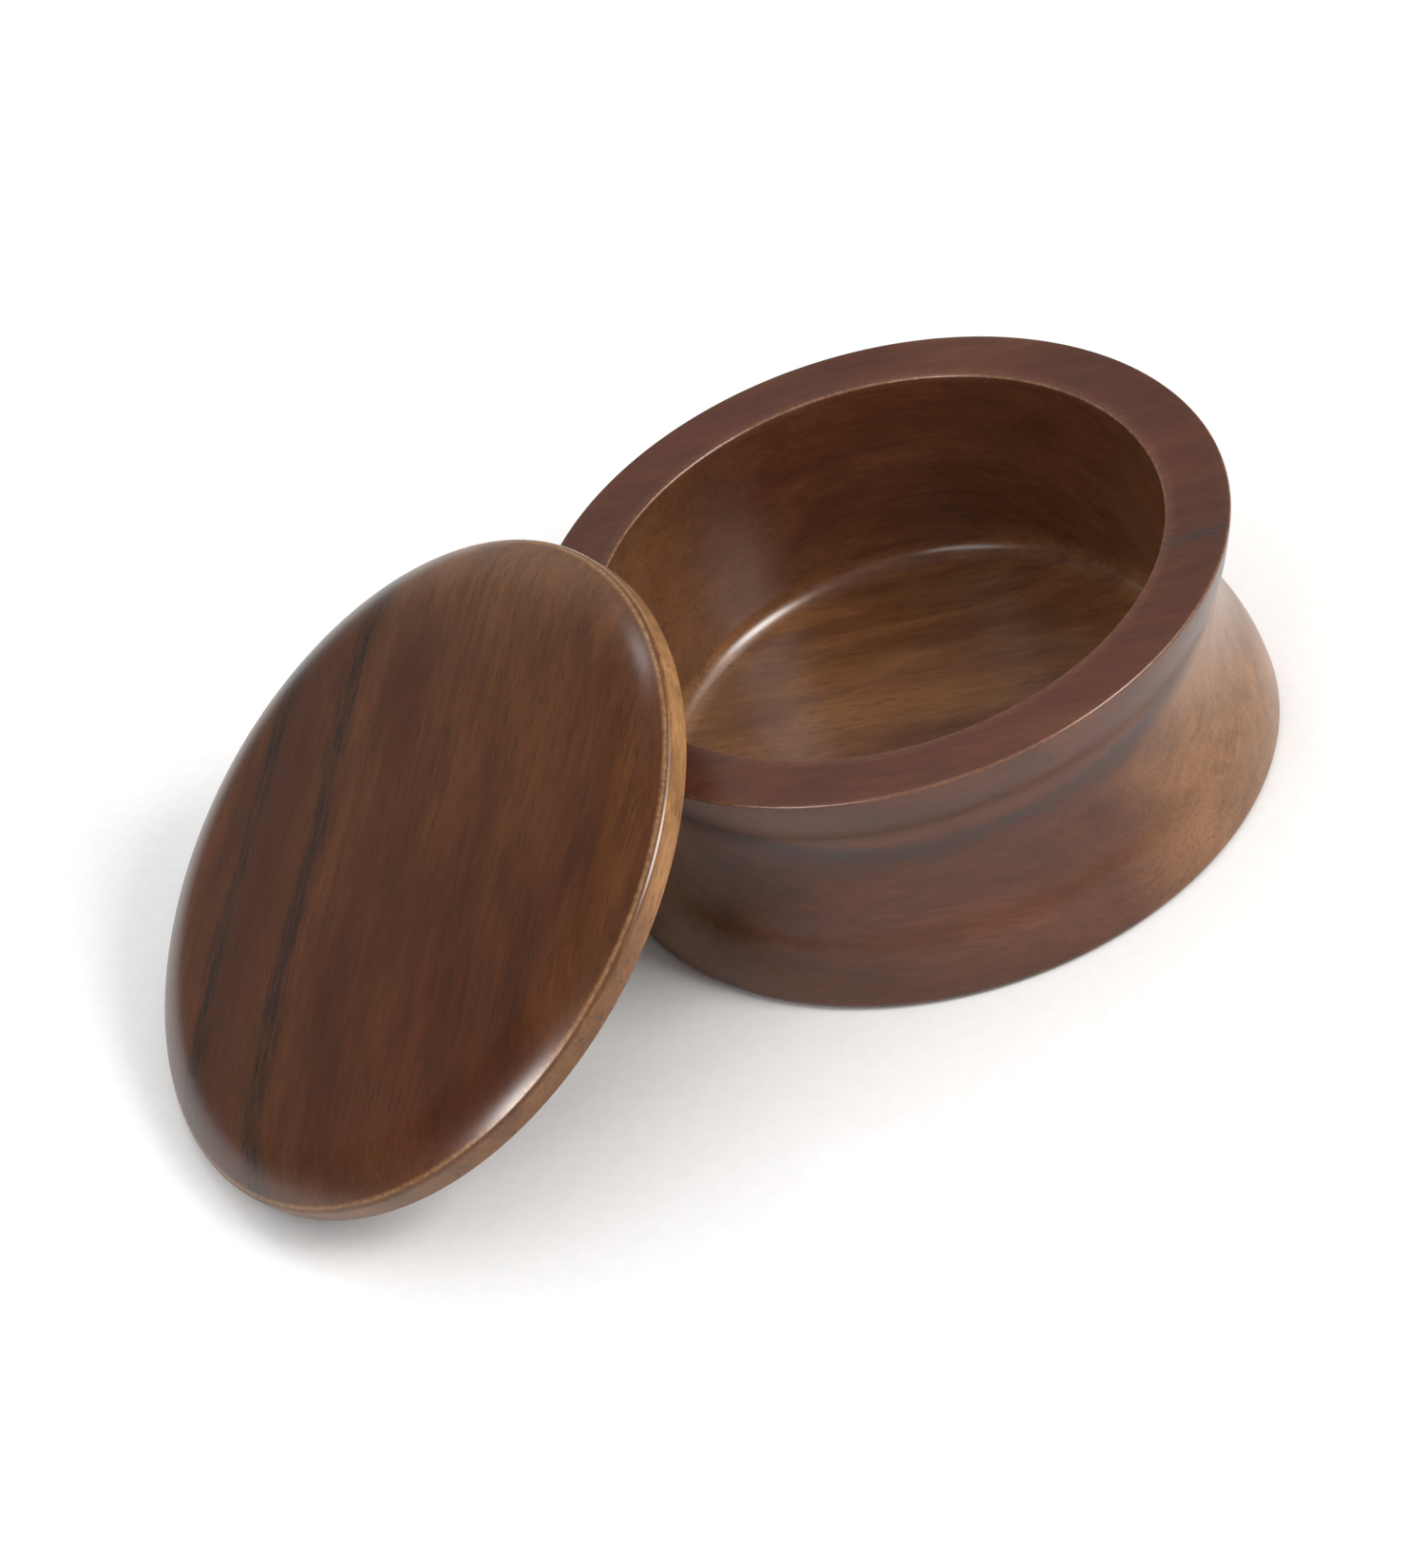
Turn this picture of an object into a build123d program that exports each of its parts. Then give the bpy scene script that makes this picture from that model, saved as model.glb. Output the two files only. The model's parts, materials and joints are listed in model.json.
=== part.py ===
from build123d import *
import math
import os

# A shaving mug in the old barber's sense: a turned wooden lather bowl with no handle, and its
# loose turned lid. Millimetres, +Z up, origin at the centre of the bowl's base. The lid is off
# the bowl: its edge stands on the ground at the bowl's -X side, and its underside leans back
# against the rim.

# Bowl, outside
rim_diameter = 110.0
rim_radius = rim_diameter / 2
bowl_height = 0.78 * rim_radius
waist_radius = 0.899 * rim_radius
waist_height = 0.529 * bowl_height
waist_arc_radius = 0.486 * rim_radius
waist_turn = 24.4
base_radius = 0.989 * rim_radius
base_edge_round = 1.5

# Bowl, inside
mouth_radius = 0.814 * rim_radius
wall_taper = 0.6
floor_thickness = 0.16 * bowl_height
floor_corner_round = 4.2
arris_round = 0.4

# Lid, measured from its flat underside
lid_radius = 0.994 * rim_radius
lid_edge_height = 4.1
lid_shoulder_width = 0.6
lid_shoulder_height = 1.1
lid_roll_width = 9.0
lid_roll_height = 3.4
lid_crown_height = 1.2
lid_back_round = 0.4
spigot_clearance = 0.8
spigot_radius = mouth_radius - spigot_clearance
spigot_height = 3.2
spigot_end_chamfer = 0.6

# Where the lid leans
lean_angle = 32.25
lean_gap = 0.25


def corner_of(outline, point):
    """The corner of an outline that lies nearest to the given point."""
    return outline.vertices().sort_by_distance(point)[0]


with BuildPart() as bowl:
    with BuildSketch(Plane.XZ) as bowl_outline:
        with BuildLine():
            waist = (waist_radius, waist_height)
            waist_up = JernArc(waist, (0, 1), waist_arc_radius, -waist_turn)
            flare = TangentArc(waist_up @ 1, (rim_radius, bowl_height), tangent=waist_up % 1)
            waist_down = JernArc(waist, (0, -1), waist_arc_radius, waist_turn)
            belly = TangentArc(waist_down @ 1, (base_radius, 0), tangent=waist_down % 1)
            floor_corner = (mouth_radius - wall_taper, floor_thickness)
            Polyline(
                flare @ 1,
                (mouth_radius, bowl_height),
                floor_corner,
                (0, floor_thickness),
                (0, 0),
                belly @ 1,
            )
        make_face()
        fillet(corner_of(bowl_outline, (rim_radius, bowl_height)), arris_round)
        fillet(corner_of(bowl_outline, (mouth_radius, bowl_height)), arris_round)
        fillet(corner_of(bowl_outline, floor_corner), floor_corner_round)
        fillet(corner_of(bowl_outline, (base_radius, 0)), base_edge_round)
    revolve(axis=Axis.Z)

# The centre of the lid's underside: the rounded back edge touches the ground, and the flat end
# of the spigot stops short of the rim's rounded outer arris by the gap.
lean = math.radians(lean_angle)
lid_centre_z = (lid_radius - lid_back_round) * math.sin(lean) + lid_back_round * (1 - math.cos(lean))
arris_radius = rim_radius - arris_round
arris_rise = bowl_height - arris_round - lid_centre_z
spigot_end_to_arris = spigot_height + lean_gap + arris_round
lid_centre_x = -arris_radius - (spigot_end_to_arris + arris_rise * math.cos(lean)) / math.sin(lean)

lid_centre = (lid_centre_x, 0, lid_centre_z)
lid_face_direction = (-math.sin(lean), 0, math.cos(lean))
lid_plane = Plane(origin=lid_centre, x_dir=(math.cos(lean), 0, math.sin(lean)), z_dir=(0, -1, 0))

with BuildPart() as lid:
    with BuildSketch(lid_plane) as lid_outline:
        with BuildLine():
            crease = (lid_radius - lid_shoulder_width, lid_edge_height)
            roll_start = (crease[0] - lid_roll_width, crease[1] + lid_roll_height)
            face_centre = (0, roll_start[1] + lid_crown_height)
            crown = TangentArc(face_centre, roll_start, tangent=(1, 0))
            TangentArc(roll_start, crease, tangent=crown % 1)
            side_top = (lid_radius, lid_edge_height - lid_shoulder_height)
            TangentArc(crease, side_top, tangent=(0, 1), tangent_from_first=False)
            Polyline(
                side_top,
                (lid_radius, 0),
                (spigot_radius, 0),
                (spigot_radius, -spigot_height),
                (0, -spigot_height),
                face_centre,
            )
        make_face()
        fillet(corner_of(lid_outline, (lid_radius, 0)), lid_back_round)
        chamfer(corner_of(lid_outline, (spigot_radius, -spigot_height)), spigot_end_chamfer)
    revolve(axis=Axis(lid_centre, lid_face_direction))

os.makedirs("parts", exist_ok=True)
bowl.part.label = "bowl"
lid.part.label = "lid"
export_step(bowl.part, "parts/bowl.step")
export_step(lid.part, "parts/lid.step")
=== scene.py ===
import cmath
import json
import math

import bpy
from mathutils import Matrix, Quaternion, Vector


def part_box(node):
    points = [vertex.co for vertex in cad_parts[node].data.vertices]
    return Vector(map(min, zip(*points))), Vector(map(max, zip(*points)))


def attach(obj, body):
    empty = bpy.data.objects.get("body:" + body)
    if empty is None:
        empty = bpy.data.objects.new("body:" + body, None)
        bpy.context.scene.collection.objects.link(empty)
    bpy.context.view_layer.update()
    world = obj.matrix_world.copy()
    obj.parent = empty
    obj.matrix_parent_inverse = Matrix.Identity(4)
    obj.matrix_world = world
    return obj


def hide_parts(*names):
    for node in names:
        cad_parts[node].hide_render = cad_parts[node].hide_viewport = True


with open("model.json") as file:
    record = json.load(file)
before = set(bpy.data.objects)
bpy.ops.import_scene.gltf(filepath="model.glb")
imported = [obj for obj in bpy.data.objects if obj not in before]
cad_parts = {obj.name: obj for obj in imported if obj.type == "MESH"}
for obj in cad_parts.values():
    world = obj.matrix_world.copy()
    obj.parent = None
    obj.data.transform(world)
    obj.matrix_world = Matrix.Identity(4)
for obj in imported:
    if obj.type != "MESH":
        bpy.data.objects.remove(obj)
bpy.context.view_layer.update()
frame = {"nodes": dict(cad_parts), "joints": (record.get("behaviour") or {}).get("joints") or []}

# Looks for the turned wooden shaving bowl and its lid. Everything is in metres, in the CAD frame.
# Both pieces are turned, so each one is a half outline swept round its axis. An outline is a list
# of complex numbers: the real part is the distance from the axis, the imaginary part the height.

MM = 0.001


# ---------------------------------------------------------------- outlines

def straight(start, end, step=2.5 * MM):
    """Points from start to end, both included, no further apart than step."""
    count = max(1, math.ceil(abs(end - start) / step))
    return [start + (end - start) * i / count for i in range(count + 1)]


def bend(start, heading, radius, turn, count=24):
    """Points of an arc from start, and the heading at its end. A positive turn is to the left."""
    side = math.copysign(1, turn)
    centre = start + heading * 1j * side * radius
    points = [centre + (start - centre) * cmath.exp(1j * turn * i / count) for i in range(count + 1)]
    return points, heading * cmath.exp(1j * turn)


def tangent_arc(start, heading, end, count=24):
    """Points of the arc that leaves start along heading and passes through end."""
    turn = 2 * cmath.phase((end - start) / heading)
    radius = abs(end - start) / abs(2 * math.sin(turn / 2))
    return bend(start, heading, radius, turn, count)[0]


def round_corner(outline, corner, radius, count=8):
    """The outline with one corner rounded. The stretches beside the corner count as straight."""
    at = min(range(len(outline)), key=lambda i: abs(outline[i] - corner))
    before = outline[at] - outline[at - 1]
    after = outline[at + 1] - outline[at]
    before /= abs(before)
    after /= abs(after)
    turn = cmath.phase(after / before)
    reach = radius * abs(math.tan(turn / 2))
    arc, _ = bend(corner - before * reach, before, radius, turn, count)
    head = [p for p in outline[:at] if abs(p - corner) > reach * 1.02]
    tail = [p for p in outline[at + 1:] if abs(p - corner) > reach * 1.02]
    return head + arc + tail


def joined(*stretches):
    """One outline from several stretches, each starting where the last one ended."""
    outline = [stretches[0][0]]
    for stretch in stretches:
        outline += stretch[1:]
    return outline


# ---------------------------------------------------------------- sizes, from the frame

# The ratios and the small sizes are the CAD part's own.
bowl_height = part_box("bowl")[1].z
rim_radius = bowl_height / 0.78
mouth_radius = 0.814 * rim_radius
wall_taper = 0.6 * MM
floor_thickness = 0.16 * bowl_height
floor_corner_round = 4.2 * MM
arris_round = 0.4 * MM
waist_radius = 0.899 * rim_radius
waist_height = 0.529 * bowl_height
waist_arc_radius = 0.486 * rim_radius
waist_turn = math.radians(24.4)
base_radius = 0.989 * rim_radius
base_edge_round = 1.5 * MM

lid_radius = 0.994 * rim_radius
lid_edge_height = 4.1 * MM
lid_shoulder_width = 0.6 * MM
lid_shoulder_height = 1.1 * MM
lid_roll_width = 9.0 * MM
lid_roll_height = 3.4 * MM
lid_crown_height = 1.2 * MM
lid_back_round = 0.4 * MM
spigot_clearance = 0.8 * MM
spigot_radius = mouth_radius - spigot_clearance
spigot_height = 3.2 * MM
spigot_end_round = 0.6 * MM
lid_direction = Vector(frame["joints"][0]["axis"]).normalized()


def bowl_outline():
    """The bowl's outline, from the middle of its base up the outside and down the inside, and
    its arrises."""
    rim_outside = complex(rim_radius, bowl_height)
    rim_inside = complex(mouth_radius, bowl_height)
    floor_corner = complex(mouth_radius - wall_taper, floor_thickness)
    foot = complex(base_radius, 0)
    waist = complex(waist_radius, waist_height)
    up, up_heading = bend(waist, 1j, waist_arc_radius, -waist_turn)
    down, down_heading = bend(waist, -1j, waist_arc_radius, waist_turn)
    flare = tangent_arc(up[-1], up_heading, rim_outside)
    belly = tangent_arc(down[-1], down_heading, foot)
    outline = joined(
        straight(0j, foot),
        belly[::-1],
        down[::-1],
        up,
        flare,
        straight(rim_outside, rim_inside),
        straight(rim_inside, floor_corner, 1.5 * MM),
        straight(floor_corner, complex(0, floor_thickness)),
    )
    outline = round_corner(outline, foot, base_edge_round)
    outline = round_corner(outline, rim_outside, arris_round)
    outline = round_corner(outline, rim_inside, arris_round)
    outline = round_corner(outline, floor_corner, floor_corner_round, 20)
    return outline, [rim_outside, rim_inside]


def lid_outline():
    """The lid's outline, from the middle of its spigot's end round the edge to its face, and
    its arris."""
    spigot_end = complex(spigot_radius, -spigot_height)
    spigot_root = complex(spigot_radius, 0)
    back_edge = complex(lid_radius, 0)
    crease = complex(lid_radius - lid_shoulder_width, lid_edge_height)
    side_top = complex(lid_radius, lid_edge_height - lid_shoulder_height)
    roll_start = crease + complex(-lid_roll_width, lid_roll_height)
    face_middle = complex(0, roll_start.imag + lid_crown_height)
    crown = tangent_arc(face_middle, 1, roll_start, 30)
    crown_heading = (crown[-1] - crown[-2]) / abs(crown[-1] - crown[-2])
    outline = joined(
        straight(spigot_end.imag * 1j, spigot_end),
        straight(spigot_end, spigot_root, 1 * MM),
        straight(spigot_root, back_edge),
        straight(back_edge, side_top, 1 * MM),
        tangent_arc(side_top, 1j, crease, 12),
        tangent_arc(roll_start, crown_heading, crease, 16)[::-1],
        crown[::-1],
    )
    outline = round_corner(outline, spigot_end, spigot_end_round)
    outline = round_corner(outline, back_edge, lid_back_round)
    return outline, [crease]


# ---------------------------------------------------------------- meshes

def turned_piece(name, outline, place, zones, segments=256):
    """A closed mesh of the outline turned about its axis, then put in place.

    zones holds the vertex attributes: a name, and the value as a function of the outline point.
    """
    on_axis = 1e-6
    points = [p for p in outline if p.real > on_axis]
    ends = [outline[0], outline[-1]]
    verts = []
    for p in points:
        for i in range(segments):
            angle = math.tau * i / segments
            verts.append((p.real * math.cos(angle), p.real * math.sin(angle), p.imag))
    faces = []
    for ring in range(len(points) - 1):
        low = ring * segments
        high = low + segments
        for i in range(segments):
            j = (i + 1) % segments
            faces.append((low + i, low + j, high + j, high + i))
    for end, ring in zip(ends, (0, len(points) - 1)):
        verts.append((0, 0, end.imag))
        hub = len(verts) - 1
        for i in range(segments):
            j = (i + 1) % segments
            edge = (ring * segments + i, ring * segments + j)
            faces.append((hub, edge[1], edge[0]) if ring == 0 else (hub, edge[0], edge[1]))
    mesh = bpy.data.meshes.new(name)
    mesh.from_pydata(verts, [], faces)
    mesh.transform(place)
    for zone, value_at in zones.items():
        values = [value_at(p) for p in points for _ in range(segments)]
        values += [value_at(end) for end in ends]
        mesh.attributes.new(zone, "FLOAT", "POINT").data.foreach_set("value", values)
    mesh.shade_smooth()
    mesh.update()
    piece = bpy.data.objects.new(name, mesh)
    bpy.context.scene.collection.objects.link(piece)
    weighted = piece.modifiers.new("flats_stay_flat", "WEIGHTED_NORMAL")
    weighted.weight = 100
    return piece


def close_to(arrises, reach=0.28 * MM):
    """A zone that is 1 on the arrises and fades away from them."""
    return lambda p: math.exp(-((min(abs(p - arris) for arris in arrises) / reach) ** 2))


def lid_place():
    """Where the lid's own frame lies: its origin is the middle of the underside."""
    spots = {tuple(round(c, 6) for c in v.co) for v in frame["nodes"]["lid"].data.vertices}
    lowest = min(Vector(s).dot(lid_direction) for s in spots)
    same_level = 2e-6
    end_ring = [Vector(s) for s in spots if Vector(s).dot(lid_direction) < lowest + same_level]
    end_middle = sum(end_ring, Vector()) / len(end_ring)
    middle = end_middle + lid_direction * spigot_height
    up_slope = Vector((lid_direction.z, 0, -lid_direction.x))
    sideways = lid_direction.cross(up_slope)
    axes = Matrix((up_slope, sideways, lid_direction)).transposed()
    return Matrix.Translation(middle) @ axes.to_4x4()


# ---------------------------------------------------------------- nodes

class Graph:
    """Short calls for building the nodes of a material or a world."""

    def __init__(self, owner):
        owner.use_nodes = True
        self.tree = owner.node_tree

    def feed(self, socket, value):
        """Give a socket a value, or the output of another node."""
        if isinstance(value, bpy.types.NodeSocket):
            self.tree.links.new(value, socket)
        else:
            socket.default_value = value

    def feed_node(self, node_name, inputs):
        """Feed the inputs of a node that the tree came with."""
        for key, value in inputs.items():
            self.feed(self.tree.nodes[node_name].inputs[key], value)

    def node(self, kind, inputs=None, **settings):
        node = self.tree.nodes.new(kind)
        for key, value in settings.items():
            setattr(node, key, value)
        for key, value in (inputs or {}).items():
            self.feed(node.inputs[key], value)
        return node

    def math(self, operation, *values):
        inputs = dict(enumerate(values))
        return self.node("ShaderNodeMath", inputs, operation=operation).outputs[0]

    def product(self, first, *others):
        for other in others:
            first = self.math("MULTIPLY", first, other)
        return first

    def coordinates(self, kind):
        return self.node("ShaderNodeTexCoord").outputs[kind]

    def difference(self, first, second):
        inputs = {0: first, 1: second}
        return self.node("ShaderNodeVectorMath", inputs, operation="SUBTRACT").outputs["Vector"]

    def dot(self, first, second):
        inputs = {0: first, 1: second}
        return self.node("ShaderNodeVectorMath", inputs, operation="DOT_PRODUCT").outputs["Value"]

    def vector(self, x, y, z):
        return self.node("ShaderNodeCombineXYZ", {"X": x, "Y": y, "Z": z}).outputs[0]

    def grey(self, level):
        return self.node("ShaderNodeCombineColor", {0: level, 1: level, 2: level}).outputs[0]

    def zone(self, name):
        """A vertex attribute of the mesh."""
        return self.node("ShaderNodeAttribute", attribute_name=name).outputs["Fac"]

    def noise(self, place, scale, detail=2.0, roughness=0.5):
        inputs = {"Vector": place, "Scale": scale, "Detail": detail, "Roughness": roughness}
        return self.node("ShaderNodeTexNoise", inputs).outputs["Fac"]

    def ramp(self, value, low, high, to_low=0.0, to_high=1.0):
        """A smooth step from to_low to to_high, as the value goes from low to high."""
        inputs = {
            "Value": value,
            "From Min": low,
            "From Max": high,
            "To Min": to_low,
            "To Max": to_high,
        }
        return self.node("ShaderNodeMapRange", inputs, interpolation_type="SMOOTHSTEP").outputs[0]

    def mix(self, amount, first, second, blend="MIX"):
        node = self.node("ShaderNodeMix", data_type="RGBA", blend_type=blend)
        self.feed(node.inputs["Factor"], amount)
        self.feed(node.inputs["A"], first)
        self.feed(node.inputs["B"], second)
        return node.outputs["Result"]


# ---------------------------------------------------------------- wood

class Wood(Graph):
    """Dark stained, lacquered wood, worked out in three dimensions so that the figure runs
    through every face: straight stripes on the flats, specks where the fibres end.

    A place in the wood is in mm: along the fibres, across the growth layers, and third, square
    to both. wavy is the place across with the layers' waves in it. The methods from banded to
    lacquered are the steps of the work: each takes the colour so far and returns it changed,
    apart from the first, which starts it, and the last, which gives it to the shader.
    """

    def __init__(self, material, grain, colours):
        super().__init__(material)
        self.colours = colours
        origin, along_axis, across_axis = grain
        across_axis = across_axis.normalized()
        along_axis = (along_axis - along_axis.project(across_axis)).normalized()
        third_axis = along_axis.cross(across_axis)
        offset = self.difference(self.coordinates("Object"), origin)
        self.along = self.dot(offset, along_axis / MM)
        self.across = self.dot(offset, across_axis / MM)
        self.third = self.dot(offset, third_axis / MM)
        self.wander = self.math("MULTIPLY_ADD", self.figure(0.012, 0.02, 0.02), 12.0, -6.0)
        self.wavy = self.math("ADD", self.across, self.wander)
        self.clouds = self.figure(0.035, 0.10, 0.10, 4.0, 0.65, self.wavy)
        self.fibres = self.figure(0.06, 1.6, 1.6, 4.0, 0.8, self.wavy)
        pores = self.ramp(self.figure(0.28, 2.0, 2.0, 2.0, 0.5, self.wavy), 0.57, 0.68)
        pore_patches = self.ramp(self.figure(0.03, 0.12, 0.12), 0.35, 0.65, 0.25, 1.0)
        self.pores = self.product(pores, pore_patches)

    def figure(self, along_scale, across_scale, third_scale, detail=2.0, roughness=0.5, layer=None):
        """Noise stretched along the fibres, with its scales in cycles per mm. A layer, where one
        is given, is used instead of the place across."""
        place = self.vector(
            self.product(self.along, along_scale),
            self.product(layer or self.across, across_scale),
            self.product(self.third, third_scale),
        )
        return self.noise(place, 1.0, detail, roughness)

    def banded(self):
        """Brown and golden bands."""
        bands = self.ramp(self.figure(0.012, 0.07, 0.03, 3.0, 0.65, self.wavy), 0.36, 0.66)
        return self.mix(bands, self.colours["brown"], self.colours["golden"])

    def thinned(self, colour, start, end, least):
        """Thin stain in its zone. It is patchy, and it grows along the fibres, from its least
        effect at start to its full effect at end. On the bowl this growth is painted light that lifts
        the floor's shaded side."""
        patches = self.ramp(self.figure(0.05, 0.15, 0.15, 3.0, 0.6), 0.35, 0.62, 0.55, 1.0)
        # Painted light on the bowl: this growth lightens the floor where the wall's shade falls.
        growth_and_painted_light = self.ramp(self.math("ADD", self.along, self.wander), start, end, least, 1.0)
        amount = self.product(self.zone("thin_stain"), patches, growth_and_painted_light)
        return self.mix(amount, colour, self.colours["thin"])

    def golden_at_ends(self, colour, middle, start, end, top):
        """Wood that turns golden from start to end of the distance from the middle along the
        fibres, but only in the layers below top, with a soft edge there."""
        distance = self.math("ABSOLUTE", self.math("SUBTRACT", self.along, middle))
        far = self.ramp(self.math("ADD", distance, self.wander), start, end)
        below = self.ramp(self.wavy, top + 2.0, top - 8.0)
        return self.mix(self.product(far, below, self.zone("pale_ends")), colour, self.colours["light"])

    def layered(self, colour):
        """Darker growth layers."""
        layers = self.figure(0.014, 0.40, 0.12, 3.0, 0.65, self.wavy)
        return self.mix(self.ramp(layers, 0.50, 0.75, 0.0, 0.32), colour, self.colours["dark"])

    def streaked(self, colour, place, width, shade_reach):
        """A near-black layer, ragged and broken into dashes, with a dark shade below it."""
        away = self.math("SUBTRACT", self.wavy, place)
        shade = self.product(
            self.ramp(away, -shade_reach, 0.0),
            self.ramp(away, width, 0.0),
            self.ramp(self.clouds, 0.35, 0.7),
        )
        colour = self.mix(shade, colour, self.colours["dark"])
        half_width = self.ramp(self.figure(0.04, 0.1, 0.04), 0.35, 0.7, 0.6 * width, 1.8 * width)
        fray = self.math("SUBTRACT", self.fibres, 0.5)
        frayed = self.math("MULTIPLY_ADD", fray, 2.6, self.math("ABSOLUTE", away))
        core = self.ramp(self.math("DIVIDE", frayed, half_width), 1.2, 0.2)
        dashes = self.ramp(self.figure(0.12, 1.6, 1.6, 3.0, 0.7), 0.42, 0.60, 0.12, 0.90)
        return self.mix(self.product(core, dashes), colour, self.colours["streak"])

    def textured(self, colour):
        """Fibres and clouds of light and dark, and dark pores."""
        fibre_shade = self.ramp(self.fibres, 0.28, 0.72, 0.82, 1.16)
        cloud_shade = self.ramp(self.clouds, 0.3, 0.7, 0.77, 1.20)
        shade = self.grey(self.product(fibre_shade, cloud_shade))
        colour = self.mix(1.0, colour, shade, "MULTIPLY")
        return self.mix(self.product(self.pores, 0.45), colour, self.colours["streak"])

    def worn_and_highlit(self, colour):
        """Pale, patchy wear along the arrises, which is partly a painted highlight on them."""
        patches = self.noise(self.coordinates("Object"), 1300.0, 3.0, 0.6)
        amount = self.product(self.zone("arris"), self.ramp(patches, 0.30, 0.70, 0.3, 0.8))
        return self.mix(amount, colour, self.colours["worn_and_highlit"])

    def lacquered(self, colour):
        """Fibres and pores in slight relief, under a satin lacquer."""
        relief = self.math("SUBTRACT", self.product(self.fibres, 0.35), self.pores)
        bump = self.node("ShaderNodeBump", {"Strength": 0.35, "Distance": 0.06 * MM, "Height": relief})
        self.feed_node("Principled BSDF", {
            "Base Color": colour,
            "Roughness": self.ramp(self.fibres, 0.2, 0.8, 0.38, 0.52),
            "Normal": bump.outputs["Normal"],
            "Specular IOR Level": 0.06,
            "Coat Weight": 0.75,
            "Coat Roughness": 0.25,
        })


def wood_material(name, grain, colours, streaks, golden_ends, thin_growth_and_painted_light):
    """A material of stained wood. Its places and widths are in mm.

    grain is (origin, along the fibres, across the growth layers). Each streak is (place across,
    width, reach of the dark shade below it), golden_ends is (middle, start, end), and
    thin_growth_and_painted_light is (start, end, least effect) for the growth of the thin stain,
    which on the bowl is painted light.
    """
    material = bpy.data.materials.new(name)
    wood = Wood(material, grain, colours)
    last_streak_place = streaks[-1][0]
    colour = wood.banded()
    colour = wood.thinned(colour, *thin_growth_and_painted_light)
    colour = wood.golden_at_ends(colour, *golden_ends, last_streak_place)
    colour = wood.layered(colour)
    for streak in streaks:
        colour = wood.streaked(colour, *streak)
    colour = wood.textured(colour)
    colour = wood.worn_and_highlit(colour)
    wood.lacquered(colour)
    return material


# Linear colours. The stain is darkest in the near-black layers and thinnest on the arrises, where its
# pale colour is partly a painted highlight.
LID_COLOURS = {
    "brown": (0.069, 0.020, 0.007, 1),
    "golden": (0.084, 0.028, 0.008, 1),
    "light": (0.170, 0.082, 0.038, 1),
    "thin": (0.350, 0.168, 0.056, 1),
    "dark": (0.043, 0.014, 0.008, 1),
    "streak": (0.018, 0.010, 0.006, 1),
    "worn_and_highlit": (0.34, 0.18, 0.08, 1),
}
BOWL_COLOURS = {
    "brown": (0.072, 0.019, 0.009, 1),
    "golden": (0.083, 0.027, 0.012, 1),
    "light": (0.21, 0.098, 0.040, 1),
    "thin": (0.148, 0.063, 0.022, 1),
    "dark": (0.038, 0.014, 0.010, 1),
    "streak": (0.036, 0.023, 0.020, 1),
    "worn_and_highlit": (0.38, 0.21, 0.12, 1),
}


# ---------------------------------------------------------------- the two pieces

def inside_bowl(point, lowest):
    """Whether a point of the bowl's outline is on its inside, above the lowest height."""
    return point.real < mouth_radius + 0.05 * MM and point.imag > lowest


def bowl_stain(point):
    """How thin the stain is: thin on the floor inside, thicker up the wall, nearly full outside
    and full on the rim."""
    fade_height = 12 * MM
    if inside_bowl(point, floor_thickness - 0.1 * MM):
        return 0.25 + 0.75 * max(0, 1 - (point.imag - floor_thickness) / fade_height)
    return 0.15 if point.imag < bowl_height - arris_round else 0.0


def bowl_pale_ends(point):
    """How pale the end grain is: fully outside and on the floor, less up the wall inside."""
    wall_start = floor_thickness + 3 * MM
    if point.imag > bowl_height - arris_round:
        return 0.0
    return 0.4 if inside_bowl(point, wall_start) else 1.0


def lid_stain(point):
    """How thin the stain is: thin on the side below the crease, and full elsewhere."""
    side_depth = 1.1 * MM
    fade_start = lid_edge_height - 0.2 * MM
    fade_height = 0.8 * MM
    if point.real <= lid_radius - side_depth:
        return 0.0
    return min(1, max(0, (fade_start - point.imag) / fade_height))


def everywhere(point):
    """A zone that is 1 on the whole piece."""
    return 1.0


def make_bowl():
    """The bowl. Its fibres lie nearly level, and its growth layers slope down to one side."""
    outline, arrises = bowl_outline()
    zones = {"arris": close_to(arrises), "thin_stain": bowl_stain, "pale_ends": bowl_pale_ends}
    bowl = turned_piece("turned_bowl", outline, Matrix.Identity(4), zones)
    grain_turn = math.radians(-28)
    along = Vector((math.cos(grain_turn), math.sin(grain_turn), 0))
    across = Vector((-0.124, -0.434, 1))
    bowl.data.materials.append(wood_material(
        "stained_bowl_wood",
        (Vector((0, 0, 0)), along, across),
        BOWL_COLOURS,
        streaks=[(47, 2.0, 7)],
        golden_ends=(0, 26, 48),
        # Painted light: the thin stain grows towards the floor's right side, lifting the shade the wall
        # casts there.
        thin_growth_and_painted_light=(-5, 35, 0.8),
    ))
    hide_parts("bowl")
    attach(bowl, "bowl")


def make_lid():
    """The lid. Its fibres lie in its face, and its growth layers stand on edge."""
    outline, arrises = lid_outline()
    zones = {"arris": close_to(arrises), "thin_stain": lid_stain, "pale_ends": everywhere}
    place = lid_place()
    lid = turned_piece("turned_lid", outline, place, zones)
    grain_turn = math.radians(39.2)
    axes = place.to_3x3()
    along = axes @ Vector((math.cos(grain_turn), math.sin(grain_turn), 0))
    across = axes @ Vector((-math.sin(grain_turn), math.cos(grain_turn), 0))
    lid.data.materials.append(wood_material(
        "stained_lid_wood",
        (place.translation, along, across),
        LID_COLOURS,
        streaks=[(36.0, 2.4, 17), (18, 3.4, 3.0)],
        golden_ends=(-9, 34, 78),
        thin_growth_and_painted_light=(-32, 14, 0.35),
    ))
    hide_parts("lid")
    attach(lid, "lid")


make_bowl()
make_lid()


# ---------------------------------------------------------------- studio

# The point that the camera and the lights face.
AIM = Vector((-36.0, 0, 18.9)) * MM
LIGHT_DISTANCE = 1.5
CAMERA_DISTANCE = 827.8 * MM

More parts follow.
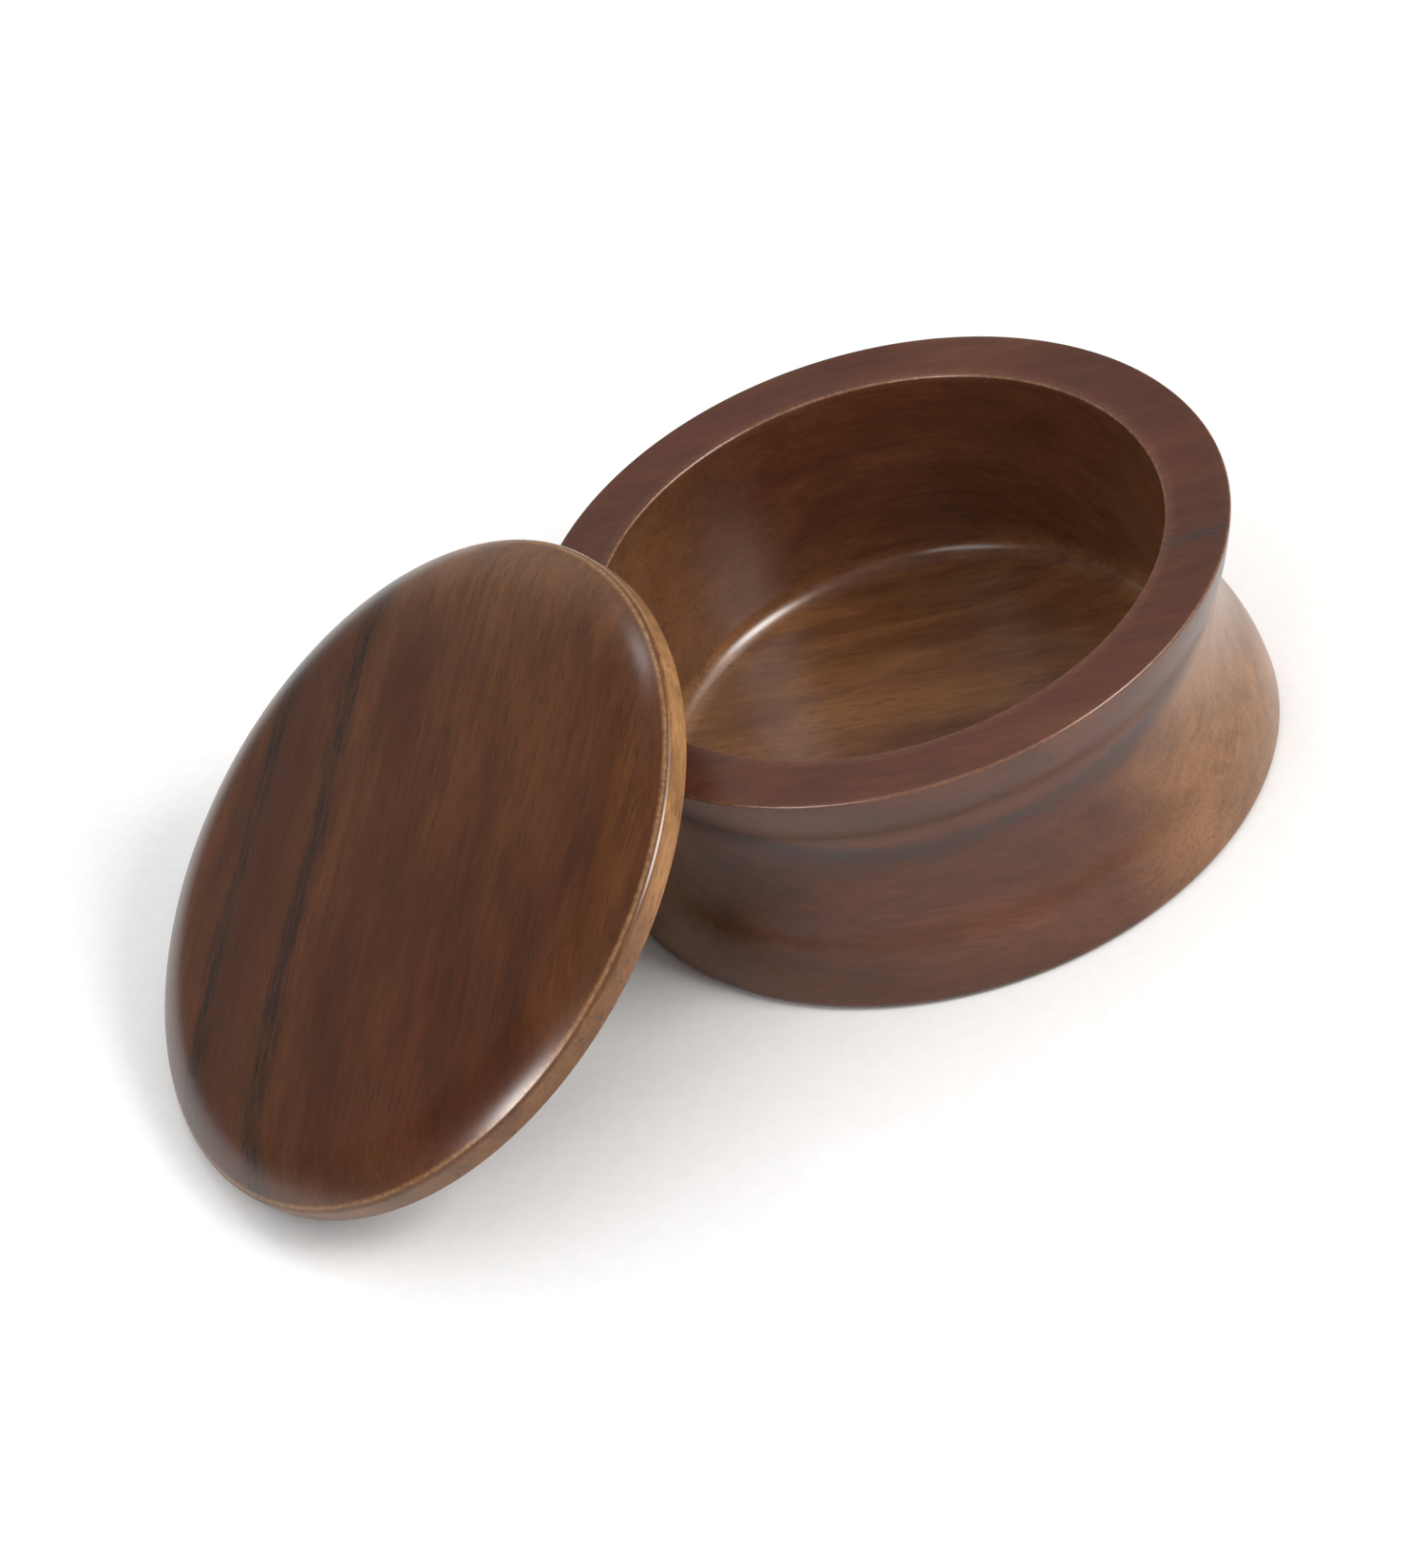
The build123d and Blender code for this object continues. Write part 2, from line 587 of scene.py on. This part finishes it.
# What reflections see of the room. Each soft glow has the azimuth and elevation of its middle in
# degrees, the cosine of the angle from the middle where it starts, and its strength.
GLOWS = [
    (-47, 39, 0.945, 13.0),
    (-14, 46, 0.94, 5.0),
    (-150, 28, 0.975, 28.0),
    (78, 30, 0.80, 0.33),
    (112, 14, 0.88, 0.20),
    (-100, 2, 0.50, 0.50),
]


def direction(azimuth, elevation):
    """The unit vector that points to an azimuth and an elevation, both in degrees."""
    azimuth = math.radians(azimuth)
    elevation = math.radians(elevation)
    return Vector((
        math.cos(elevation) * math.cos(azimuth),
        math.cos(elevation) * math.sin(azimuth),
        math.sin(elevation),
    ))


def paper_floor(half_width=6.0):
    """A pale sheet with a faint grain, far wider than the object."""
    material = bpy.data.materials.new("white_paper")
    graph = Graph(material)
    grain = graph.noise(graph.coordinates("Object"), 400.0, 3.0)
    tone = graph.grey(graph.ramp(grain, 0.3, 0.7, 0.80, 0.82))
    graph.feed_node("Principled BSDF", {"Base Color": tone, "Roughness": 0.9})
    mesh = bpy.data.meshes.new("floor")
    sides = [(-1, -1), (1, -1), (1, 1), (-1, 1)]
    corners = [(x * half_width, y * half_width, 0) for x, y in sides]
    mesh.from_pydata(corners, [], [(0, 1, 2, 3)])
    floor = bpy.data.objects.new("floor", mesh)
    floor.data.materials.append(material)
    bpy.context.scene.collection.objects.link(floor)


def softbox(name, azimuth, elevation, width, height, power, colour=(1, 1, 1)):
    """A soft rectangular light that faces the object."""
    light = bpy.data.lights.new(name, "AREA")
    light.shape = "RECTANGLE"
    light.size = width
    light.size_y = height
    light.energy = power
    light.color = colour
    lamp = bpy.data.objects.new(name, light)
    toward = direction(azimuth, elevation)
    lamp.location = toward * LIGHT_DISTANCE + AIM
    lamp.rotation_euler = toward.to_track_quat("Z", "Y").to_euler()
    bpy.context.scene.collection.objects.link(lamp)


def studio_world():
    """Light for matt surfaces comes from all round, most of it from above. Reflections show a
    dark room with a few soft glows."""
    world = bpy.data.worlds.new("studio")
    graph = Graph(world)
    outward = graph.coordinates("Generated")

    def glow(middle, start, low, high):
        """Strength that rises from low to high towards the middle direction."""
        return graph.ramp(graph.dot(outward, middle), start, 1.0, low, high)

    reflected = 0.0
    for azimuth, elevation, start, high in GLOWS:
        one_glow = glow(direction(azimuth, elevation), start, 0.01, high)
        reflected = graph.math("ADD", reflected, one_glow)
    from_above = glow((0, 0, 1), 0.0, 0.22, 1.15)
    is_reflection = graph.node("ShaderNodeLightPath").outputs["Is Glossy Ray"]
    strength = graph.ramp(is_reflection, 0.0, 1.0, from_above, reflected)
    graph.feed_node("Background", {"Color": (1, 1, 1, 1), "Strength": strength})
    return world


def view_camera():
    """The camera looks down at the object from its front, a little to the lid's side, and is
    rolled."""
    data = bpy.data.cameras.new("camera")
    data.lens = 123.05
    data.sensor_width = 36
    camera = bpy.data.objects.new("camera", data)
    backward = direction(-103.32, 39.28)
    camera.location = AIM + backward * CAMERA_DISTANCE
    roll = Quaternion((0, 0, 1), math.radians(-19.43))
    camera.rotation_euler = (backward.to_track_quat("Z", "Y") @ roll).to_euler()
    bpy.context.scene.collection.objects.link(camera)
    return camera


paper_floor()
softbox("key_front", -47, 38, 0.54, 0.48, 16.5, (1, 0.97, 0.94))
softbox("fill_left", -154, 27, 0.20, 0.18, 2.0)
softbox("fill_front", -133, 31, 0.22, 0.18, 1.8)
softbox("back_spot", 75, 57, 0.26, 0.12, 1.5)

scene = bpy.context.scene
scene.world = studio_world()
scene.view_settings.view_transform = "Standard"
scene.camera = view_camera()
